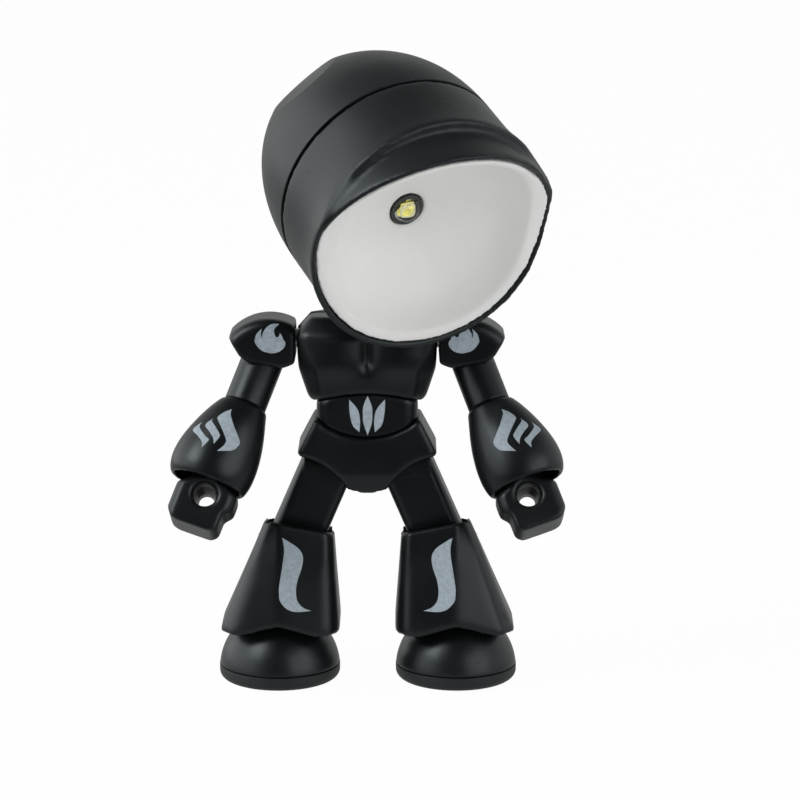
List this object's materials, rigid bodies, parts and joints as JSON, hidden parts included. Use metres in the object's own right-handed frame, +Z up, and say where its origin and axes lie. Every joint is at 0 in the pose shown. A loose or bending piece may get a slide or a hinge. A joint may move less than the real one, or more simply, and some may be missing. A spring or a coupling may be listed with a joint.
{
  "type": "jointed figure desk lamp",
  "caption": "Free-standing desk lamp shaped as a small jointed figure; the helmet-like head holds an LED in a white bowl and turns, and the limbs pose.",
  "frame": {"origin": "on the ground, under the middle of the whole lamp in plan", "axes": "+X towards the figure's left side, -Y the way it faces, +Z up"},
  "size_m": [0.057, 0.0466, 0.0931],
  "materials": {
    "head_shell": "dark grey satin moulded plastic with a fine grain",
    "body_plastic": "near-black satin moulded plastic",
    "reflector_white": "matte white moulded plastic",
    "led_body": "dark grey LED body",
    "led_phosphor": "yellow phosphor, glows when lit",
    "led_dome": "clear cast dome",
    "board_green": "solder mask on a thin board",
    "cell_steel": "nickel-plated cell can",
    "contact_metal": "plated sheet-metal contact",
    "inner_plastic": "unpolished black plastic inside the head",
    "button_plastic": "smooth dark plastic button",
    "switch_plastic": "switch housing",
    "joint_plastic": "plain black peg, stem and socket plastic",
    "bush_plastic": "natural low-friction plastic",
    "screw_steel": "blackened steel screws",
    "pin_steel": "plain steel pins",
    "sole_plastic": "near-black plastic sole plate"
  },
  "bodies": {
    "torso": {"chest_front": "body_plastic", "chest_back": "body_plastic", "chest_screws": "screw_steel", "abdomen": "body_plastic", "pelvis": "body_plastic", "hip_axle": "pin_steel", "neck_bush": "bush_plastic", "left_shoulder_pin": "pin_steel", "right_shoulder_pin": "pin_steel"},
    "neck": {"neck_ball_stem": "joint_plastic"},
    "head": {"head_front_shell": "head_shell", "head_rear_shell": "head_shell", "reflector": "reflector_white", "led_holder": "led_body", "led_chip": "led_phosphor", "led_lens": "led_dome", "led_board": "board_green", "battery_tray": "inner_plastic", "button_cells": "cell_steel", "battery_contacts": "contact_metal", "battery_door": "head_shell", "battery_door_screw": "screw_steel", "power_switch": "switch_plastic", "switch_bracket": "inner_plastic", "neck_cup": "joint_plastic"},
    "button": {"power_button": "button_plastic"},
    "left_arm": {"left_shoulder_pad": "body_plastic", "left_upper_arm": "body_plastic", "left_elbow_peg": "joint_plastic"},
    "left_lower_arm": {"left_forearm": "body_plastic"},
    "left_fist": {"left_wrist_peg": "joint_plastic", "left_hand": "body_plastic"},
    "left_upper_leg": {"left_thigh": "body_plastic", "left_knee_pin": "pin_steel"},
    "left_lower_leg": {"left_shin": "body_plastic"},
    "left_boot": {"left_ankle_pin": "pin_steel", "left_foot": "body_plastic", "left_sole": "sole_plastic"},
    "right_arm": {"right_shoulder_pad": "body_plastic", "right_upper_arm": "body_plastic", "right_elbow_peg": "joint_plastic"},
    "right_lower_arm": {"right_forearm": "body_plastic"},
    "right_fist": {"right_wrist_peg": "joint_plastic", "right_hand": "body_plastic"},
    "right_upper_leg": {"right_thigh": "body_plastic", "right_knee_pin": "pin_steel"},
    "right_lower_leg": {"right_shin": "body_plastic"},
    "right_boot": {"right_ankle_pin": "pin_steel", "right_foot": "body_plastic", "right_sole": "sole_plastic"}
  },
  "joints": [
    {"name": "neck_turn", "type": "hinge", "parent": "torso", "child": "neck", "pos_m": [0, 0.0103, 0.0549], "axis": [0, 0, 1], "range_deg": [-64, 14]},
    {"name": "head_nod", "type": "hinge", "parent": "neck", "child": "head", "pos_m": [0, 0.0103, 0.063], "axis": [0.8829, 0.4695, 0], "range_deg": [-34, 2]},
    {"name": "button_press", "type": "slide", "parent": "head", "child": "button", "axis": [0.4172, -0.7846, -0.4586], "range_m": [0, 0.0008], "stiffness_N_per_m": 300, "springref_m": -0.0006},
    {"name": "left_shoulder_swing", "type": "hinge", "parent": "torso", "child": "left_arm", "pos_m": [0.01395, 0.00855, 0.051], "axis": [1, 0, 0], "range_deg": [-70, 110]},
    {"name": "left_elbow_turn", "type": "hinge", "parent": "left_arm", "child": "left_lower_arm", "pos_m": [0.01778, 0.00441, 0.04171], "axis": [-0.342, 0.4412, 0.8297], "continuous": true},
    {"name": "left_wrist_turn", "type": "hinge", "parent": "left_lower_arm", "child": "left_fist", "pos_m": [0.02096, 0.00031, 0.03399], "axis": [-0.342, 0.4412, 0.8297], "continuous": true},
    {"name": "left_hip_swing", "type": "hinge", "parent": "torso", "child": "left_upper_leg", "pos_m": [0.0062, 0.00855, 0.0323], "axis": [1, 0, 0], "range_deg": [-30, 30]},
    {"name": "left_knee_bend", "type": "hinge", "parent": "left_upper_leg", "child": "left_lower_leg", "pos_m": [0.0105, 0.00855, 0.0216], "axis": [1, 0, 0], "range_deg": [-15, 15]},
    {"name": "left_ankle_tilt", "type": "hinge", "parent": "left_lower_leg", "child": "left_boot", "pos_m": [0.0131, 0.00855, 0.0041], "axis": [1, 0, 0], "range_deg": [-15, 15]},
    {"name": "right_shoulder_swing", "type": "hinge", "parent": "torso", "child": "right_arm", "pos_m": [-0.01395, 0.00855, 0.051], "axis": [1, 0, 0], "range_deg": [-70, 110]},
    {"name": "right_elbow_turn", "type": "hinge", "parent": "right_arm", "child": "right_lower_arm", "pos_m": [-0.01778, 0.00441, 0.04171], "axis": [0.342, 0.4412, 0.8297], "continuous": true},
    {"name": "right_wrist_turn", "type": "hinge", "parent": "right_lower_arm", "child": "right_fist", "pos_m": [-0.02096, 0.00031, 0.03399], "axis": [0.342, 0.4412, 0.8297], "continuous": true},
    {"name": "right_hip_swing", "type": "hinge", "parent": "torso", "child": "right_upper_leg", "pos_m": [-0.0062, 0.00855, 0.0323], "axis": [1, 0, 0], "range_deg": [-30, 30]},
    {"name": "right_knee_bend", "type": "hinge", "parent": "right_upper_leg", "child": "right_lower_leg", "pos_m": [-0.0105, 0.00855, 0.0216], "axis": [1, 0, 0], "range_deg": [-15, 15]},
    {"name": "right_ankle_tilt", "type": "hinge", "parent": "right_lower_leg", "child": "right_boot", "pos_m": [-0.0131, 0.00855, 0.0041], "axis": [1, 0, 0], "range_deg": [-15, 15]}
  ]
}
